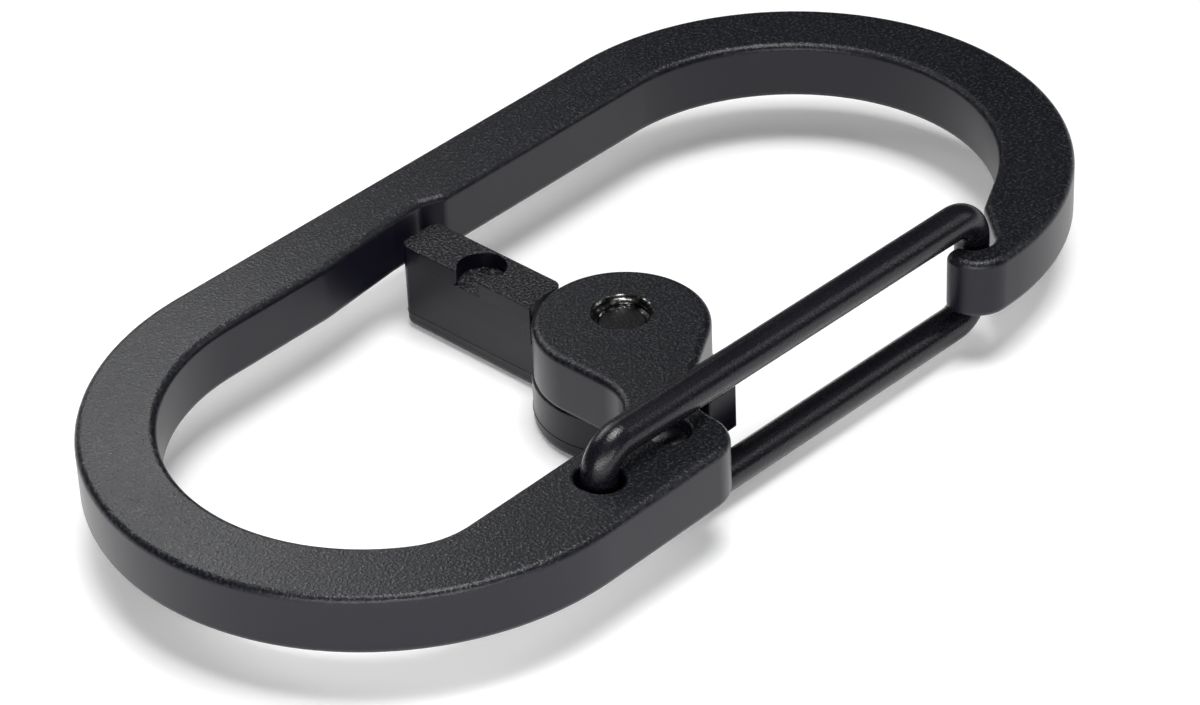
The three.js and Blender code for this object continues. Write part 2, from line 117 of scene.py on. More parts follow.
def run(points, closed=False):
    """A polyline through (x, y, radius) points, each rounded by its radius."""
    pieces = []
    for i, (x, y, radius) in enumerate(points):
        inside = closed or 0 < i < len(points) - 1
        if radius and inside:
            before, after = points[i - 1][:2], points[(i + 1) % len(points)][:2]
            pieces.append(corner(before, (x, y), after, radius))
        else:
            pieces.append(np.array([[x, y]], float))
    return np.vstack(pieces)


def capsule(a, b, radius):
    """A slot's outline: two half circles about a and b, joined by straight sides."""
    a, b = np.asarray(a, float), np.asarray(b, float)
    way = np.degrees(np.arctan2(*(b - a)[::-1]))
    return np.vstack([arc(b, radius, way - 90, way + 90), arc(a, radius, way + 90, way + 270)])


# %% [markdown]
# ## A skin of bands
#
# A piece's surface is a stack of closed loops. Two loops next to each other
# are joined by a band of quads, and a flat face is the region between one
# outer loop and the loops of its holes. Normals come from the surface itself:
# the cross product of the two directions on the grid. Where a band runs
# smoothly into a flat face, the last loop takes the face's own normal, so a
# flat face looks flat right up to its rounded edge.

# %% The skin helper
UP = np.array([0.0, 0.0, 1.0])


class Skin:
    """Collects bands, flat faces and poles, then makes one mesh of them."""

    def __init__(self):
        self.points, self.normals, self.faces, self.slots = [], [], [], []
        self.count = 0

    def add(self, points, normals):
        """Adds loose points and returns their numbers."""
        index = self.count + np.arange(len(points))
        self.points.append(points)
        self.normals.append(normals)
        self.count += len(points)
        return index

    def keep(self, faces, slot):
        """Adds faces that use one material slot."""
        self.faces.extend(faces)
        self.slots.extend([slot] * len(faces))

    def band(self, grid, first=None, last=None, slot=0):
        """Joins loops (rows, n, 3) that close on themselves; normal = along the loop x along the rows."""
        around = np.roll(grid, -1, axis=1) - np.roll(grid, 1, axis=1)
        across = np.gradient(grid, axis=0)
        normals = np.cross(around, across)
        normals /= np.linalg.norm(normals, axis=-1, keepdims=True) + 1e-12
        if first is not None:
            normals[0] = first
        if last is not None:
            normals[-1] = last
        index = self.add(grid.reshape(-1, 3), normals.reshape(-1, 3)).reshape(grid.shape[:2])
        a, d = index[:-1], index[1:]
        quads = np.stack([a, np.roll(a, -1, axis=1), np.roll(d, -1, axis=1), d], axis=-1)
        self.keep(quads.reshape(-1, 4).tolist(), slot)
        return index[0], index[-1]

    def flat(self, outer, holes=(), down=False, slot=0):
        """Fills the region between loops of point numbers; the face looks up, or down."""
        points = np.vstack(self.points)
        loops = [outer, *holes]
        flat = np.concatenate(loops)
        starts = np.cumsum([0] + [len(loop) for loop in loops])
        edges = [
            (int(s + i), int(s + (i + 1) % len(loop)))
            for s, loop in zip(starts, loops)
            for i in range(len(loop))
        ]
        owner = np.repeat(np.arange(len(loops)), [len(loop) for loop in loops])
        plan = [Vector(p) for p in points[flat, :2].tolist()]
        _, _, faces, origin, _, _ = delaunay_2d_cdt(plan, edges, [], 1, 1e-7)
        chosen = [[origin[i][0] for i in face] for face in faces]
        in_hole = [len(set(owner[face])) == 1 and owner[face[0]] > 0 for face in chosen]
        made = [flat[face].tolist() for face, skip in zip(chosen, in_hole) if not skip]
        self.keep([face[::-1] for face in made] if down else made, slot)

    def pole(self, loop, point, normal, flip=False, slot=0):
        """Closes a loop with a fan of triangles to one point."""
        tip = int(self.add(np.array([point], float), np.array([normal], float))[0])
        pairs = zip(loop.tolist(), np.roll(loop, -1).tolist())
        self.keep([(b, a, tip) if flip else (a, b, tip) for a, b in pairs], slot)

    def piece(self, name, body, node, materials):
        """Makes the mesh in metres, gives it its normals and finishes, and sets it on its body."""
        mesh = bpy.data.meshes.new(name)
        points = np.vstack(self.points) * MM
        mesh.from_pydata(points.tolist(), [], self.faces)
        for material in materials:
            mesh.materials.append(material)
        mesh.polygons.foreach_set("material_index", self.slots)
        mesh.polygons.foreach_set("use_smooth", [True] * len(self.faces))
        mesh.normals_split_custom_set_from_vertices(np.vstack(self.normals).tolist())
        obj = bpy.data.objects.new(name, mesh)
        bpy.context.collection.objects.link(obj)
        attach(obj, body)
        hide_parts(node)
        print(name, len(self.faces), "faces")
        return obj


def raised(outline, inset, height):
    """Loops of an outline moved inwards by inset at each height: point - inset * outward normal."""
    tangent = np.roll(outline, -1, axis=0) - np.roll(outline, 1, axis=0)
    tangent /= np.linalg.norm(tangent, axis=1, keepdims=True)
    outward = np.stack([tangent[:, 1], -tangent[:, 0]], axis=1)
    inset = np.asarray(inset, float)
    inset = inset[:, None] * np.ones(len(outline)) if inset.ndim == 1 else inset
    height = np.asarray(height, float)
    height = height[:, None] * np.ones(len(outline)) if height.ndim == 1 else height
    plan = outline[None] - inset[..., None] * outward[None]
    return np.concatenate([plan, height[..., None]], axis=2)


def quarter(radius, rows=6):
    """A rounded edge as (inset, drop) pairs, from the side wall's end to the flat face's end."""
    angle = np.linspace(0, np.pi / 2, rows + 1)
    return radius * (1 - np.cos(angle)), radius * (1 - np.sin(angle))


# %% [markdown]
# ## Finishes
#
# Three blacks meet on this object. The forging has a sandy powder coat: dark,
# dull, and full of tiny grains on the faces that look up, painted bright as
# glints, but smoother on its walls. The wire is a satin black that shows long
# highlights. The lever is moulded in a coarse mould. One group makes the grain
# for all three: noise at two sizes, strongest where the surface faces up or
# down. The fine noise, cut off below a level, also picks out single grains,
# which the finishes lift as painted glints.

# %% A group that makes grain
def group_with(name, inputs, outputs):
    """An empty node group with float inputs and the given outputs."""
    group = bpy.data.node_groups.new(name, "ShaderNodeTree")
    for label, value in inputs:
        socket = group.interface.new_socket(label, in_out="INPUT", socket_type="NodeSocketFloat")
        socket.default_value = value
    for label in outputs:
        group.interface.new_socket(label, in_out="OUTPUT", socket_type="NodeSocketFloat")
    ends = group.nodes.new("NodeGroupInput"), group.nodes.new("NodeGroupOutput")
    return group, *ends


def maths(tree, operation, a, b=0.5, c=0.0, clamp=False):
    """A Math node whose inputs are numbers or sockets."""
    node = tree.nodes.new("ShaderNodeMath")
    node.operation = operation
    node.use_clamp = clamp
    for socket, value in zip(node.inputs, (a, b, c)):
        if isinstance(value, (int, float)):
            socket.default_value = value
        else:
            tree.links.new(value, socket)
    return node.outputs[0]


def noise(tree, scale, detail, place, roughness=0.6):
    """Noise on Object coordinates; scale is per metre or a socket."""
    node = tree.nodes.new("ShaderNodeTexNoise")
    node.inputs["Detail"].default_value = detail
    node.inputs["Roughness"].default_value = roughness
    tree.links.new(place, node.inputs["Vector"])
    if isinstance(scale, (int, float)):
        node.inputs["Scale"].default_value = scale
    else:
        tree.links.new(scale, node.inputs["Scale"])
    return node.outputs["Fac"]


grain, grain_in, grain_out = group_with(
    "grain",
    [("Grains per metre", 4000.0), ("On walls", 0.3)],
    ["Height", "Specks", "Cloud", "Facing"],
)
coordinates = grain.nodes.new("ShaderNodeTexCoord").outputs["Object"]
facing = grain.nodes.new("ShaderNodeSeparateXYZ")
grain.links.new(grain.nodes.new("ShaderNodeNewGeometry").outputs["True Normal"], facing.inputs[0])
upright = maths(grain, "ABSOLUTE", facing.outputs["Z"])
level = maths(grain, "SMOOTH_MIN", maths(grain, "MULTIPLY", upright, 1.15), 1.0, 0.1)
on_walls = grain_in.outputs["On walls"]
strength = maths(grain, "MULTIPLY_ADD", level, maths(grain, "SUBTRACT", 1.0, on_walls), on_walls)
fine = noise(grain, grain_in.outputs["Grains per metre"], 2.0, coordinates)
coarse_scale = maths(grain, "MULTIPLY", grain_in.outputs["Grains per metre"], 0.35)
coarse = noise(grain, coarse_scale, 1.0, coordinates)
sharp = maths(grain, "POWER", fine, 2.2)
both = maths(grain, "MULTIPLY_ADD", coarse, 0.08, sharp)
grain.links.new(maths(grain, "MULTIPLY", both, strength), grain_out.inputs["Height"])
peak = maths(grain, "MULTIPLY", maths(grain, "SUBTRACT", fine, 0.42), 4.0, clamp=True)
peak = maths(grain, "POWER", peak, 2.0)
grain.links.new(maths(grain, "MULTIPLY", peak, strength), grain_out.inputs["Specks"])
grain.links.new(noise(grain, 90.0, 3.0, coordinates), grain_out.inputs["Cloud"])
grain.links.new(level, grain_out.inputs["Facing"])
print("grain group:", len(grain.nodes), "nodes")


# %% [markdown]
# A finish puts the group in a material. Specks lift the colour of single
# grains, as painted glints, and lower their roughness. Walls get a painted
# shade of their own, apart from the faces that look up or down. The cloud
# varies the roughness slowly across the piece, as handling and uneven coating
# do. The numbers that stay the same all over sit on the shader itself.

# %% Make the finishes
def mixed(tree, factor, a, b):
    """A mix of two colours, or colour sockets, by a factor socket."""
    node = tree.nodes.new("ShaderNodeMix")
    node.data_type = "RGBA"
    tree.links.new(factor, node.inputs["Factor"])
    for socket, value in ((node.inputs[6], a), (node.inputs[7], b)):
        if isinstance(value, tuple):
            socket.default_value = (*value, 1)
        else:
            tree.links.new(value, socket)
    return node.outputs[2]


def finish(name, colour, wall, speck_glint_colour, rough, rough_wall, bump, grains, walls, metal=0.0, specular=0.5):
    """A material: grain in its colour, with painted glints on single grains and a painted shade on the
    walls, roughness and bump, and one even shader.
    """
    material = bpy.data.materials.new(name)
    material.use_nodes = True
    tree = material.node_tree
    shader = tree.nodes["Principled BSDF"]
    part = tree.nodes.new("ShaderNodeGroup")
    part.node_tree = grain
    part.inputs["Grains per metre"].default_value = grains
    part.inputs["On walls"].default_value = walls
    # Painted shade: walls take their own colour, darker than the faces that look up or down on the powder
    # coat and the moulding, and lighter on the steel and the bare thread.
    shaded_base = mixed(tree, part.outputs["Facing"], wall, colour)
    # Painted glints: specks lift the colour of single grains; on the bare thread they are patches of bare
    # metal.
    tree.links.new(mixed(tree, part.outputs["Specks"], shaded_base, speck_glint_colour), shader.inputs["Base Color"])
    spread = maths(tree, "MULTIPLY_ADD", part.outputs["Facing"], rough - rough_wall, rough_wall)
    varied = maths(tree, "MULTIPLY_ADD", part.outputs["Cloud"], 0.16, -0.08)
    glint = maths(tree, "MULTIPLY", part.outputs["Specks"], -0.22)
    total = maths(tree, "ADD", maths(tree, "ADD", spread, varied), glint, clamp=True)
    tree.links.new(total, shader.inputs["Roughness"])
    relief = tree.nodes.new("ShaderNodeBump")
    relief.inputs["Strength"].default_value = 1.0
    relief.inputs["Distance"].default_value = bump
    tree.links.new(part.outputs["Height"], relief.inputs["Height"])
    tree.links.new(relief.outputs["Normal"], shader.inputs["Normal"])
    shader.inputs["Metallic"].default_value = metal
    shader.inputs["Specular IOR Level"].default_value = specular
    return material


# Per finish: the colour of faces that look up or down, the walls' painted shade, and the colour that specks
# lift to as painted glints.
powder = finish(
    "powder_coat", (0.0025, 0.0027, 0.0055), (0.0024, 0.002, 0.0075), (0.034, 0.036, 0.038),
    0.38, 0.33, 0.00007, 4300, 0.05, specular=0.36,
)
satin = finish(
    "satin_wire", (0.003, 0.003, 0.006), (0.003, 0.003, 0.006), (0.014, 0.014, 0.017),
    0.28, 0.28, 0.00002, 5000, 1.0, specular=0.38,
)
mould = finish(
    "moulding", (0.0025, 0.0025, 0.005), (0.0018, 0.0015, 0.0055), (0.065, 0.065, 0.07),
    0.34, 0.3, 0.00016, 4600, 0.02, specular=0.27,
)
steel = finish(
    "dark_steel", (0.03, 0.03, 0.031), (0.05, 0.05, 0.051), (0.08, 0.08, 0.08),
    0.4, 0.35, 0.00002, 5000, 1.0, metal=1.0,
)
bare = finish(
    "bare_thread", (0.015, 0.015, 0.015), (0.03, 0.03, 0.03), (0.34, 0.34, 0.33),
    0.36, 0.36, 0.00004, 1600, 1.0, metal=1.0,
)
bronze = finish(
    "bearing_bronze", (0.42, 0.27, 0.11), (0.42, 0.27, 0.11), (0.5, 0.33, 0.15),
    0.35, 0.35, 0.00001, 3000, 1.0, metal=1.0,
)
acetal = finish(
    "white_acetal", (0.75, 0.74, 0.7), (0.75, 0.74, 0.7), (0.8, 0.79, 0.76),
    0.45, 0.45, 0.00001, 1500, 1.0,
)

# %% [markdown]
# ## The frame's outline
#
# The forging is a stadium: two half circles and two straights. Walked from
# the gate's end, its outer edge goes round both bows to the nose, turns in
# round the nose's tip, dips where the wire's end lies, and comes back along
# the inside. A shallow notch in the spine holds the lever's tip, and a neck
# and a round eye grow out of the wider straight that carries the gate.

# %% Walk round the frame
HALF, BOW, INNER = 22.5, 22.5, 16.5
LOW, TOP, MIDDLE = 4.5, 9.5, 7.0
GATE_WALL = -14.4
GATE_END, GATE_LINE = -7.75, -18.5
BLEND, NECK = 6.75, 4.5
EYE, EYE_RADIUS = np.array([-3.06, -5.6]), 6.75
PIVOT = np.array([-2.34, -5.0])
LEAVE = -60.0


def nose():
    """Tip, pocket for the wire, and the swelling before the bow's inner edge."""
    pocket, play, rise, turn = np.array([BOW, GATE_LINE]), 1.75, 50, -63
    lip = pocket + play * headed(200)
    wall = pocket + play * headed(rise - 90)
    start = np.array([BOW, 0]) + INNER * headed(turn)
    basis = np.column_stack([headed(rise), -headed(turn + 90)])
    shoulder = wall + headed(rise) * np.linalg.solve(basis, start - wall)[0]
    tip = run([
        (BOW, -HALF, 0),
        (18.9, -HALF, 2.9),
        (18.9, GATE_LINE, 1),
        (lip[0] - 0.1, -18.4, 0.65),
        (*lip, 0),
    ])
    return np.vstack([
        tip[1:-1],
        arc(pocket, play, 200, 270 + rise)[:-1],
        corner(wall, shoulder, start, 1.2),
        arc((BOW, 0), INNER, turn, 90),
    ])


def neck_side():
    """Where the neck's right side leaves the eye, and where it meets the gate's end."""
    leave = EYE + EYE_RADIUS * headed(LEAVE)
    return leave, np.array([GATE_END, leave[1] - (leave[0] - GATE_END) * np.tan(np.radians(90 + LEAVE))])


def frame_outline():
    """The whole closed outline, anticlockwise seen from above."""
    spine = run([
        (3.6, INNER, 0),
        (0.6, INNER, 1.2),
        (-1.4, 17.4, 1.2),
        (-4.4, 17.3, 4),
        (-12.4, INNER, 9),
        (-14.4, INNER, 0),
    ])
    y = GATE_WALL + BLEND
    centre = np.array([-BOW - np.sqrt((INNER - BLEND) ** 2 - y**2), y])
    meet = np.degrees(np.arctan2(centre[1], centre[0] + BOW)) % 360
    leave, heel = neck_side()
    left = EYE[0] - EYE_RADIUS
    end = run([(*leave, 0), (*heel, 5), (GATE_END, -HALF, 3.4), (-BOW, -HALF, 0)])
    walked = np.vstack([
        arc((-BOW, 0), HALF, 270, 90),
        arc((BOW, 0), HALF, 90, -90)[:-1],
        nose()[:-1],
        spine,
        arc((-BOW, 0), INNER, 90, meet)[:-1],
        arc(centre, BLEND, meet, 270),
        arc((left - NECK, GATE_WALL + NECK), NECK, 270, 360),
        arc(EYE, EYE_RADIUS, 180, LEAVE)[:-1],
        end[:-1],
    ])
    return walked[::-1]


outline = frame_outline()
print("outline points:", len(outline))

# %% [markdown]
# ## The frame's solid
#
# The wall and its rounded edges are one band: the outline, moved inwards a
# little more at each height near the two faces. The faces are then filled
# round three openings: the eye's threaded hole, the blind hole of the wire's
# upper end, and the slot of its lower end. The thread is a true helix: the
# hole's radius swings once per turn and per pitch, and dies out at the faces.

# %% Build the frame
EDGE = 0.62
PITCH, EYE_THREAD = 0.7, 2.12
UPPER_END, UPPER_HOLE = np.array([-18.45, -17.66]), 1.675
LOWER_END, LOWER_HOLE = np.array([-11.25, -17.81]), 1.625
UPPER_FLOOR = 5.9
GATE_AXIS = np.array([-16.65, -17.66])
GATE_OPEN = 16.0


def swung(point):
    """A point of the gate, turned with it to its open stop."""
    c, s = headed(GATE_OPEN)
    return GATE_AXIS + np.array([[c, -s], [s, c]]) @ (np.asarray(point) - GATE_AXIS)


def rim(hole, top, bottom, round_off=0.25):
    """Loops of a hole's wall with a rounded upper rim, from its face down."""
    inset, drop = quarter(round_off, 4)
    return raised(hole, np.r_[-inset[::-1], 0], np.r_[top - drop[::-1], bottom])


def thread_wall(radius, depth, top, bottom):
    """radius - depth * wave(height / pitch + angle / turn), where the wave fades in from both ends."""
    angle = np.linspace(0, 2 * np.pi, 97)[:-1]
    height = np.linspace(top, bottom, 90)
    swing = (height[:, None] / PITCH + angle[None] / (2 * np.pi)) % 1.0
    wave = np.clip(1.25 - 2.5 * np.abs(swing - 0.5), 0, 1)
    fade = np.clip(np.minimum(top - height, height - bottom) / 0.35, 0, 1)[:, None]
    r = radius - depth * wave * fade
    plan = PIVOT + r[..., None] * headed(np.degrees(angle))[None]
    return np.concatenate([plan, np.broadcast_to(height[:, None, None], r.shape + (1,))], axis=2)


skin = Skin()
inset, drop = quarter(EDGE, 7)
loops = raised(outline, np.r_[inset[::-1], inset], np.r_[LOW + drop[::-1], TOP - drop])
base, crown = skin.band(loops, first=-UP, last=UP)
eye_wall = thread_wall(EYE_THREAD, 0.34, TOP, LOW)
flare = np.array([[0.3], [0.2], [0.08], [0.0]])
lip = eye_wall[:1].repeat(4, axis=0)
lip[..., :2] = PIVOT + (lip[..., :2] - PIVOT) * (1 + flare[..., None] / EYE_THREAD)
lip[..., 2] = TOP - np.array([[0.0], [0.03], [0.16], [0.3]])
eye_wall[..., 2] = np.linspace(TOP - 0.36, LOW, len(eye_wall))[:, None]
eye_top, eye_low = skin.band(np.concatenate([lip, eye_wall]), first=UP, last=-UP, slot=1)
upper_hole = capsule(UPPER_END, swung(UPPER_END), UPPER_HOLE) + [-0.25, 0]
upper_top, upper_floor = skin.band(rim(upper_hole, TOP, UPPER_FLOOR), first=UP, last=UP)
lower_hole = capsule(LOWER_END, swung(LOWER_END), LOWER_HOLE)
lower_top, lower_low = skin.band(rim(lower_hole, TOP, LOW), first=UP, last=-UP)
skin.flat(crown, [eye_top, upper_top, lower_top])
skin.flat(base, [eye_low, lower_low], down=True)
skin.flat(upper_floor)
skin.piece("frame_forging", "frame", "frame", [powder, bare])

# %% [markdown]
# ## The wire gate
#
# The real gate is one wire. It drops into the upper hole, runs past the
# lever, turns round the nose, comes back underneath and turns up into the
# slot, where its end is upset so that it stays in. The surface is a circle
# carried along that path; all of the path lies in one upright plane, so the
# circle's own axes are the plane's normal and the normal of the path in it.

# %% Bend the wire
WIRE, LEG, BEND = 1.375, 4.6, 2.3
UPPER_DEPTH, LOWER_DEPTH = 3.2, 0.4


def tube(skin, path, side, radius, sides=40, rough=None):
    """Circles of the given radii carried along a path: point + r (cos * side + sin * tangent x side)."""
    tangent = np.gradient(path, axis=0)
    tangent /= np.linalg.norm(tangent, axis=1, keepdims=True)
    other = np.cross(tangent, side)
    other /= np.linalg.norm(other, axis=1, keepdims=True)
    across = np.cross(other, tangent)
    ring = headed(np.linspace(0, 360, sides + 1)[:-1])
    r = radius[:, None] * np.ones(sides) if rough is None else radius[:, None] * rough
    grid = path[:, None] + r[..., None] * (
        ring[None, :, :1] * across[:, None] + ring[None, :, 1:] * other[:, None]
    )
    start, end = skin.band(grid)
    skin.pole(start, path[0], -tangent[0], flip=True)
    skin.pole(end, path[-1], tangent[-1])


def spaced(points, gap):
    """The same polyline with points at most gap apart."""
    length = np.r_[0, np.cumsum(np.linalg.norm(np.diff(points, axis=0), axis=1))]
    at = [
        np.linspace(a, b, max(2, int((b - a) / gap) + 1))[:-1]
        for a, b in zip(length[:-1], length[1:])
        if b > a
    ]
    at = np.r_[np.concatenate(at), length[-1]]
    return np.stack([np.interp(at, length, points[:, i]) for i in range(points.shape[1])], axis=1), at


track = run([
    (UPPER_END[0], TOP - UPPER_DEPTH, 0),
    (UPPER_END[0], MIDDLE + LEG, BEND),
    (BOW, MIDDLE + LEG, BEND),
    (BOW, MIDDLE - LEG, BEND),
    (LOWER_END[0], MIDDLE - LEG, BEND),
    (LOWER_END[0], TOP - LOWER_DEPTH, 0),
])
track, along = spaced(track, 0.5)
extra = along[-1] - np.array([0.9, 0.7, 0.5, 0.35, 0.2, 0.1, 0.03])
along = np.sort(np.r_[along, extra, np.array([0.03, 0.1, 0.2, 0.35, 0.5, 0.8])])
measured = np.r_[0, np.cumsum(np.linalg.norm(np.diff(track, axis=0), axis=1))]
track = np.stack([np.interp(along, measured, track[:, i]) for i in range(2)], axis=1)
lean = (GATE_LINE - UPPER_END[1]) / (BOW - UPPER_END[0])
path = np.stack([track[:, 0], UPPER_END[1] + lean * (track[:, 0] - UPPER_END[0]), track[:, 1]], axis=1)
side = np.array([-lean, 1.0, 0.0]) / np.hypot(1, lean)
to_end = along[-1] - along
start_round = 1 - np.clip(1 - along / 0.35, 0, 1) ** 2 * 0.35
upset = 1 + 0.09 * np.clip(1 - to_end / 0.9, 0, 1)
end_round = upset * (1 - 0.16 * np.clip(1 - to_end / 0.2, 0, 1) ** 2)
radius = WIRE * start_round * end_round
rng = np.random.default_rng(7)
dents = rng.normal(0, 1, 40)
dents = np.convolve(np.r_[dents, dents, dents], np.ones(5) / 5, "same")[40:80]
rough = 1 + 0.06 * np.clip(1 - to_end / 0.6, 0, 1)[:, None] * dents[None]
skin = Skin()
tube(skin, path, side, radius, rough=rough)
skin.piece("gate_wire", "gate", "wire_gate", [satin])

# %% [markdown]
# ## The lever
#
# The lever is moulded in two halves of a mould, and the line where they met
# runs round its sides as a hair of flash. Each block is an outline raised
# through its heights. The arm's round dimple breaks through
# its left side, so the land round it is raised on its own from the dimple's
# floor.

# %% Raise the lever's blocks
HUB_TOP, LEVER_TOP, DIMPLE_FLOOR = 4.25, 7.6, 6.2
ARM_LEFT, ARM_RIGHT, ARM_END = -4.5, -0.45, 16.7
PARTING, FLASH = 1.4, 0.05


def block(skin, outline, bottom, top, round_low=0.004, round_top=0.004):
    """A raised outline with rounded lower and upper edges and a hair of flash at the parting line."""
    low_in, low_drop = quarter(round_low)
    top_in, top_drop = quarter(round_top)
    flash = np.array([[0, -0.08], [-FLASH, -0.02], [-FLASH, 0.02], [0, 0.08]])
    if bottom > PARTING:
        flash = flash[:0]
    inset = np.r_[low_in[::-1], flash[:, 0], top_in]
    height = np.r_[bottom + low_drop[::-1], PARTING + flash[:, 1], top - top_drop]
    start, end = skin.band(raised(outline, inset, height), first=-UP, last=UP)
    skin.flat(start, down=True)
    skin.flat(end)


def arm_plan(near, far_round, near_round, near_left=0.4):
    """The arm's plan from a near edge to its far end, anticlockwise."""
    return run([
        (ARM_LEFT, near, near_left),
        (ARM_RIGHT, near, near_round),
        (ARM_RIGHT, ARM_END, far_round),
        (ARM_LEFT, ARM_END, far_round),
    ], closed=True)


skin = Skin()
block(skin, arm_plan(1.0, 0.85, 0.85, 0.85), 0.0, HUB_TOP, round_low=0.8)

RISE = 8.0
across = np.linspace(ARM_LEFT, ARM_RIGHT - 0.85, 12)
rise = PIVOT[1] + np.sqrt(RISE**2 - (across - PIVOT[0]) ** 2)
turn_in = run([(across[-1], rise[-1], 0), (ARM_RIGHT, rise[-1], 0.8), (ARM_RIGHT, 6, 0)])[1:-1]
near_edge = np.vstack([np.column_stack([across, rise]), turn_in])
far_edge = run([
    (ARM_RIGHT, 14, 0),
    (ARM_RIGHT, ARM_END, 0.85),
    (ARM_LEFT, ARM_END, 0.85),
    (ARM_LEFT, 14, 0),
])[1:-1]
block(skin, np.vstack([near_edge, far_edge]), HUB_TOP, DIMPLE_FLOOR)

DIMPLE, DIMPLE_RADIUS = np.array([-2.675, 9.45]), 1.95
MOUTH = 37.5
mouth = DIMPLE_RADIUS * np.sin(np.radians(MOUTH)) + 0.21
hollow = np.vstack([
    [[ARM_LEFT, DIMPLE[1] + mouth]],
    arc(DIMPLE, DIMPLE_RADIUS, 180 - MOUTH, -180 + MOUTH),
    [[ARM_LEFT, DIMPLE[1] - mouth]],
])
block(skin, np.vstack([near_edge, far_edge, hollow]), DIMPLE_FLOOR, LEVER_TOP, round_top=0.12)

# %% [markdown]
# The tail stands beside the neck of the frame, above the gate's lower wire, on
# a thin web that runs in under the eye. Its left side follows the neck's.

# %% Add the tail and the hub
TAIL_LEFT, TAIL_RIGHT, TAIL_NEAR, TAIL_LOW = -4.9, -1.8, -15.97, 3.875
CLEAR = 0.4
leave, _ = neck_side()
slope = np.tan(np.radians(90 + LEAVE))


def beside_neck(x):
    """Height in plan of the line that runs a small gap outside the neck's right side."""
    shifted = leave + CLEAR * headed(LEAVE)
    return shifted[1] + (x - shifted[0]) * slope


tail = run([
    (TAIL_LEFT, TAIL_NEAR, 0.3),
    (TAIL_RIGHT, TAIL_NEAR, 0.3),
    (TAIL_RIGHT, beside_neck(TAIL_RIGHT), 0.3),
    (TAIL_LEFT, beside_neck(TAIL_LEFT), 0.3),
], closed=True)
block(skin, tail, TAIL_LOW, LEVER_TOP, round_top=0.2)
web = run([
    (TAIL_LEFT, TAIL_NEAR + 0.2, 0.1),
    (TAIL_RIGHT, TAIL_NEAR + 0.2, 0.1),
    (TAIL_RIGHT, -10.5, 0.1),
    (TAIL_LEFT, -10.5, 0.1),
], closed=True)
block(skin, web, TAIL_LOW + 0.01, HUB_TOP)


def turned(skin, profile, centre, sides=128):
    """A closed profile of (radius, height) points carried round an axis, sharp at its corners."""
    profile = np.asarray(profile, float)
    ring = headed(np.linspace(0, 360, sides + 1)[:-1])
    for a, b in zip(profile, np.roll(profile, -1, axis=0)):
        rows = np.linspace(a, b, 3)
        plan = np.asarray(centre) + rows[:, None, :1] * ring[None]
        height = np.broadcast_to(rows[:, None, 1:], (len(rows), sides, 1))
        skin.band(np.concatenate([plan, height], axis=2))


# (radius, height, rounding), from the screw's head round the outside to the sleeve
HUB, SPRING_ROOM, SPRING_FLOOR = 7.0, (5.65, 4.35), 2.6
hub = run([
    (3.8, 0, 0.15),
    (HUB, 0, 0.8),
    (HUB, PARTING - 0.08, 0),
    (HUB + FLASH, PARTING - 0.02, 0),
    (HUB + FLASH, PARTING + 0.02, 0),
    (HUB, PARTING + 0.08, 0),
    (HUB, HUB_TOP, 0.2),
    (SPRING_ROOM[0], HUB_TOP, 0),
    (SPRING_ROOM[0], SPRING_FLOOR, 0),
    (SPRING_ROOM[1], SPRING_FLOOR, 0),
    (SPRING_ROOM[1], HUB_TOP, 0),
    (3.48, HUB_TOP, 0),
    (3.48, 3.75, 0),
    (3.24, 3.75, 0),
    (3.24, 2.2, 0),
    (3.8, 2.2, 0),
], closed=True)
turned(skin, hub, PIVOT)
skin.piece("lever_moulding", "lever", "lever", [mould])

# %% [markdown]
# ## The pivot's pieces
#
# A shoulder screw comes up through the lever into the eye. Only its end shows
# from above, a little below the eye's face, and its head with a hexagon
# socket shows from below. The socket is part of the same surface: its radius
# is that of a hexagon, distance over the cosine of the angle from the nearest
# flat.

# %% Turn the screw
HEAD_TOP, HEAD_LOW, SEAT, SCREW_END = 1.61, 0.21, 4.38, 8.7
HEAD, SHOULDER, THREAD, SOCKET_FLAT = 3.4, 2.5, 1.88, 1.25


def ringed(radii, heights, sides=96):
    """Loops about the pivot whose radius may vary with the angle."""
    radii = np.asarray(radii, float)
    radii = radii[:, None] * np.ones(sides) if radii.ndim == 1 else radii
    ring = headed(np.linspace(0, 360, sides + 1)[:-1])
    height = np.broadcast_to(np.asarray(heights, float)[:, None, None], radii.shape + (1,))
    return np.concatenate([PIVOT + radii[..., None] * ring[None], height], axis=2)


skin = Skin()
angle = np.linspace(0, 360, 97)[:-1]
hexagon = SOCKET_FLAT / np.cos(np.radians((angle + 30) % 60 - 30))
socket_top, socket_floor = skin.band(ringed(np.stack([hexagon, hexagon]), [HEAD_LOW, HEAD_LOW + 1])[::-1])
skin.flat(socket_top, down=True)
inset, drop = quarter(0.25, 5)
face, _ = skin.band(ringed(HEAD - inset[::-1], HEAD_LOW + drop[::-1]), first=-UP)
skin.flat(face, [socket_floor], down=True)
skin.band(ringed([HEAD, HEAD], [HEAD_LOW + 0.25, HEAD_TOP - 0.1]))
skin.band(ringed([HEAD, HEAD - 0.1], [HEAD_TOP - 0.1, HEAD_TOP]))
skin.band(ringed([HEAD - 0.1, SHOULDER], [HEAD_TOP, HEAD_TOP]))
skin.band(ringed([SHOULDER, SHOULDER], [HEAD_TOP, SEAT]))
skin.band(ringed([SHOULDER, THREAD - 0.28], [SEAT, SEAT]))
skin.band(thread_wall(THREAD, 0.28, SCREW_END - 0.35, SEAT)[::-1])
rounded_end = ringed([THREAD, THREAD - 0.06, THREAD - 0.22], [SCREW_END - 0.35, SCREW_END - 0.1, SCREW_END])
_, end_face = skin.band(rounded_end, last=UP)
skin.flat(end_face)
skin.piece("shoulder_screw", "frame", "pivot_screw", [steel])

# %% [markdown]
# The sleeve and the two washers are turned rings. The spring is a tube along
# a helix whose ends turn down into the lever and up into the eye.

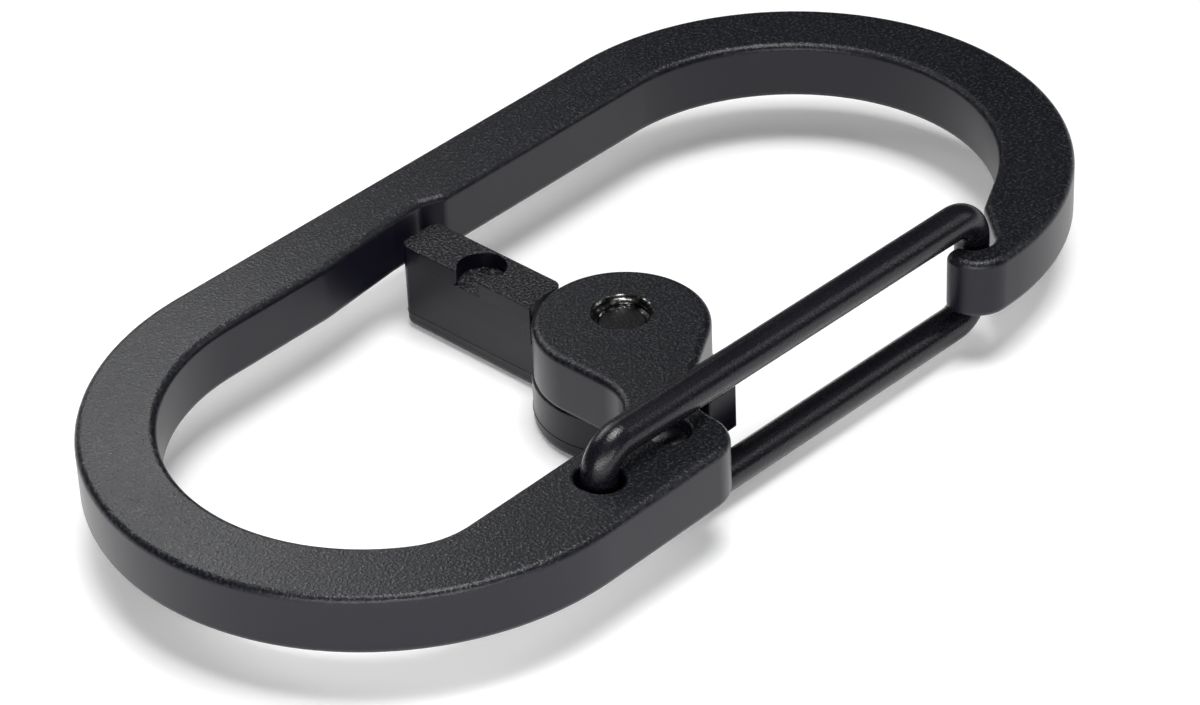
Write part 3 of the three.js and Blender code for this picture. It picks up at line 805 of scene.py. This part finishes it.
# %% Turn the rings and coil the spring
for name, node, inner, outer, low, high, material in (
    ("bearing_sleeve", "pivot_sleeve", 2.58, 3.08, 2.2, 3.63, bronze),
    ("upper_washer", "upper_thrust_washer", 2.58, 3.4, 3.87, 4.38, acetal),
    ("lower_washer", "lower_thrust_washer", 2.58, 3.4, 1.73, 2.08, acetal),
):
    skin = Skin()
    section = [(inner, low, 0.08), (outer, low, 0.08), (outer, high, 0.08), (inner, high, 0.08)]
    turned(skin, run(section, closed=True), PIVOT)
    skin.piece(name, "frame", node, [material])

SPRING, COIL, TURNS, START = 0.3, 5.0, 1.5, 150
turns = np.linspace(0, 1, 73)
coil = np.column_stack([
    PIVOT + COIL * headed(START + 360 * TURNS * turns),
    3.0 + 1.05 * turns,
])
foot = np.array([[*coil[0, :2], 1.6]])
post = np.array([[*coil[-1, :2], 5.5]])
helix = np.vstack([foot, foot + [0, 0, 0.9], coil, post - [0, 0, 0.9], post])
skin = Skin()
tube(skin, helix, UP + np.array([0.01, 0, 0]), np.full(len(helix), SPRING), sides=16)
skin.piece("torsion_spring", "frame", "return_spring", [steel])

# %% [markdown]
# ## Floor and light
#
# Black objects are drawn by what they mirror. A bright white floor gives the
# walls their grey. The faces that look up mirror what is low behind the
# object, so two small lights there, close to the left bow, give it a sheen
# that dies away to the right. A light straight above them all is mirrored
# only where an edge rolls over, as a thin bright line beside a dark one. The
# strip in front and the two side lights lift the outer walls.

# %% Set the stage
floor_mesh = bpy.data.meshes.new("floor")
floor_mesh.from_pydata([(-3, -3, 0), (3, -3, 0), (3, 3, 0), (-3, 3, 0)], [], [(0, 1, 2, 3)])
floor = bpy.data.objects.new("floor", floor_mesh)
floor.location.z = -0.03 * MM  # just clear of the lever's flat underside
bpy.context.collection.objects.link(floor)
white = bpy.data.materials.new("white_floor")
white.use_nodes = True
sockets = white.node_tree.nodes["Principled BSDF"].inputs
sockets["Base Color"].default_value = (0.93, 0.93, 0.93, 1)
sockets["Roughness"].default_value = 0.6
sockets["Emission Color"].default_value = (1, 1, 1, 1)
sockets["Emission Strength"].default_value = 0.18
floor.data.materials.append(white)


def softbox(name, place, size, power, aim=(0, 0, 0.005)):
    """A rectangular light of some watts at a place, aimed at a point; the camera doesn't see it."""
    light = bpy.data.lights.new(name, "AREA")
    light.shape = "RECTANGLE"
    light.size, light.size_y = size
    light.energy = power
    lamp = bpy.data.objects.new(name, light)
    lamp.location = place
    lamp.rotation_euler = (Vector(aim) - Vector(place)).to_track_quat("-Z", "Y").to_euler()
    lamp.visible_camera = False
    bpy.context.collection.objects.link(lamp)


softbox("overhead", (0.03, -0.1, 0.9), (0.45, 0.45), 7.5)
softbox("near_left", (-0.012, 0.057, 0.061), (0.045, 0.045), 0.022, aim=(-0.05, 0.0, 0.0))
softbox("far_left", (0.05, 0.1, 0.107), (0.07, 0.07), 0.018, aim=(-0.03, 0.0, 0.0))
softbox("front_strip", (-0.085, -0.085, 0.035), (0.16, 0.03), 0.08, aim=(-0.045, -0.045, 0.0))
softbox("front_left", (-0.6, -0.35, 0.25), (0.5, 0.3), 0.8)
softbox("far_right", (0.7, -0.5, 0.5), (0.4, 0.5), 0.9)
world = bpy.data.worlds.new("surround")
world.use_nodes = True
background = world.node_tree.nodes["Background"].inputs
background["Color"].default_value = (1, 1, 1, 1)
background["Strength"].default_value = 0.04
bpy.context.scene.world = world
bpy.context.scene.view_settings.view_transform = "Standard"
